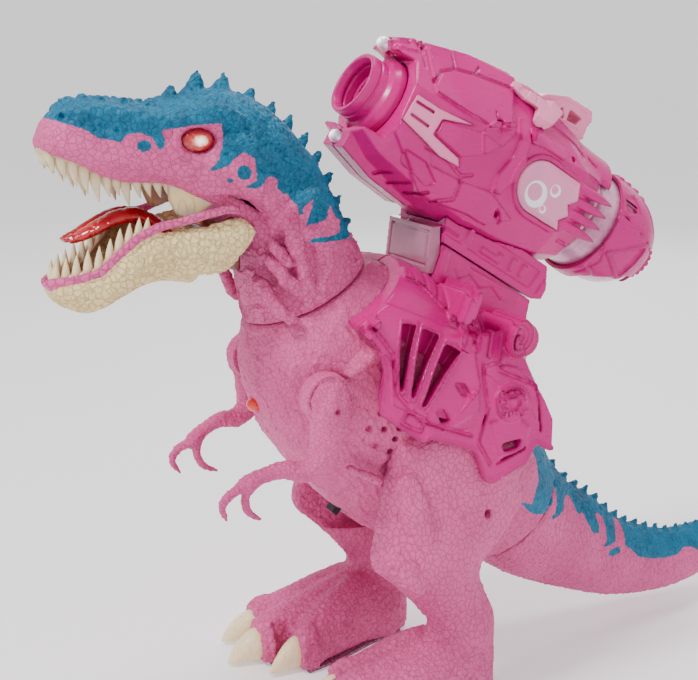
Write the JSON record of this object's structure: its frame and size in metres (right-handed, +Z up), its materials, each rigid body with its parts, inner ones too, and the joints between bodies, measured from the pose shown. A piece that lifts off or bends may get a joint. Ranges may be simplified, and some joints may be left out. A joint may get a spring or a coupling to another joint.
{
  "type": "bubble machine",
  "caption": "Walking dinosaur toy that carries a bubble cannon on its saddle; jaw, neck, arms and legs move, and a fan blows bubbles through a ring in the muzzle.",
  "frame": {"origin": "on the floor under the middle of the toy's length and width", "axes": "+Z up, -Y is where the dinosaur looks, +X is its left side"},
  "size_m": [0.1608, 0.5069, 0.3678],
  "materials": {
    "skin": "moulded pink with blue back stripes",
    "magenta": "glossy",
    "pale": "satin pale pink",
    "cream": "satin",
    "tongue": "wet red",
    "lamp": "clear red lens",
    "clear": "translucent",
    "black": "black inner parts",
    "board": "circuit board",
    "steel": "plated",
    "white": "natural white",
    "rubber": "soft grip"
  },
  "bodies": {
    "body": {"cannon_left": "magenta", "cannon_right": "magenta", "side_insert_left": "pale", "side_insert_right": "pale", "badge_left": "pale", "badge_right": "pale", "lamp_upper": "clear", "lamp_lower": "clear", "barrel": "magenta", "bubble_ring": "magenta", "fan_motor": "steel", "pump": "black", "feed_hose": "clear", "solution_tank": "clear", "tank_guard": "magenta", "sight": "pale", "cradle": "magenta", "torso_left": "skin", "torso_right": "skin", "battery_cover": "skin", "cover_screw": "steel", "chest_lamp": "lamp", "battery_pack": "white", "battery_box": "black", "gearbox": "black", "hip_axle": "steel", "drive_motor": "steel", "speaker": "black", "circuit_board": "board", "neck_bush": "white", "tail_left": "skin", "tail_right": "skin", "saddle_left": "magenta", "saddle_right": "magenta", "post": "magenta", "post_window": "pale"},
    "head": {"head_left": "skin", "head_right": "skin", "neck_shaft": "white", "jaw_pin": "steel", "eye_left": "lamp", "eye_right": "lamp", "upper_teeth": "cream"},
    "jaw": {"jaw": "cream", "lower_teeth": "cream", "tongue": "tongue"},
    "arm_left": {"arm_left": "skin"},
    "arm_right": {"arm_right": "skin"},
    "leg_left": {"leg_outer_left": "skin", "leg_inner_left": "skin", "claws_left": "cream", "sole_left": "rubber"},
    "leg_right": {"leg_outer_right": "skin", "leg_inner_right": "skin", "claws_right": "cream", "sole_right": "rubber"},
    "crank": {"crank_gear": "white"},
    "fan": {"fan": "black"},
    "tank_cap": {"tank_cap": "magenta"},
    "power_switch": {"power_switch": "black"}
  },
  "joints": [
    {"name": "neck_swivel", "type": "hinge", "parent": "body", "child": "head", "pos_m": [0, -0.117, 0.237], "axis": [0, -0.454, 0.891], "range_deg": [-15, 15]},
    {"name": "jaw_hinge", "type": "hinge", "parent": "head", "child": "jaw", "pos_m": [0, -0.1715, 0.271], "axis": [-1, 0, 0], "range_deg": [-2, 14]},
    {"name": "shoulder_left", "type": "hinge", "parent": "body", "child": "arm_left", "pos_m": [0.052, -0.1275, 0.19], "axis": [1, 0, 0], "range_deg": [-30, 30]},
    {"name": "shoulder_right", "type": "hinge", "parent": "body", "child": "arm_right", "pos_m": [-0.052, -0.1275, 0.19], "axis": [1, 0, 0], "range_deg": [-30, 30]},
    {"name": "hip_left", "type": "hinge", "parent": "body", "child": "leg_left", "pos_m": [0, -0.0515, 0.126], "axis": [1, 0, 0], "range_deg": [-8, 8]},
    {"name": "hip_right", "type": "hinge", "parent": "body", "child": "leg_right", "pos_m": [0, -0.0515, 0.126], "axis": [1, 0, 0], "range_deg": [-8, 8]},
    {"name": "crank_spin", "type": "hinge", "parent": "body", "child": "crank", "pos_m": [0, -0.0515, 0.126], "axis": [1, 0, 0], "continuous": true},
    {"name": "fan_spin", "type": "hinge", "parent": "body", "child": "fan", "pos_m": [0, -0.04249, 0.31562], "axis": [0, 0.848, -0.5299], "continuous": true},
    {"name": "cap_turn", "type": "hinge", "parent": "body", "child": "tank_cap", "pos_m": [0, 0.10189, 0.2372], "axis": [0, 0.848, -0.5299], "range_deg": [0, 90]},
    {"name": "switch_slide", "type": "slide", "parent": "body", "child": "power_switch", "axis": [1, 0, 0], "range_m": [0, 0.0056]}
  ],
  "couplings": [
    {"joint": "hip_right", "follows": "hip_left", "ratio": -1}
  ]
}
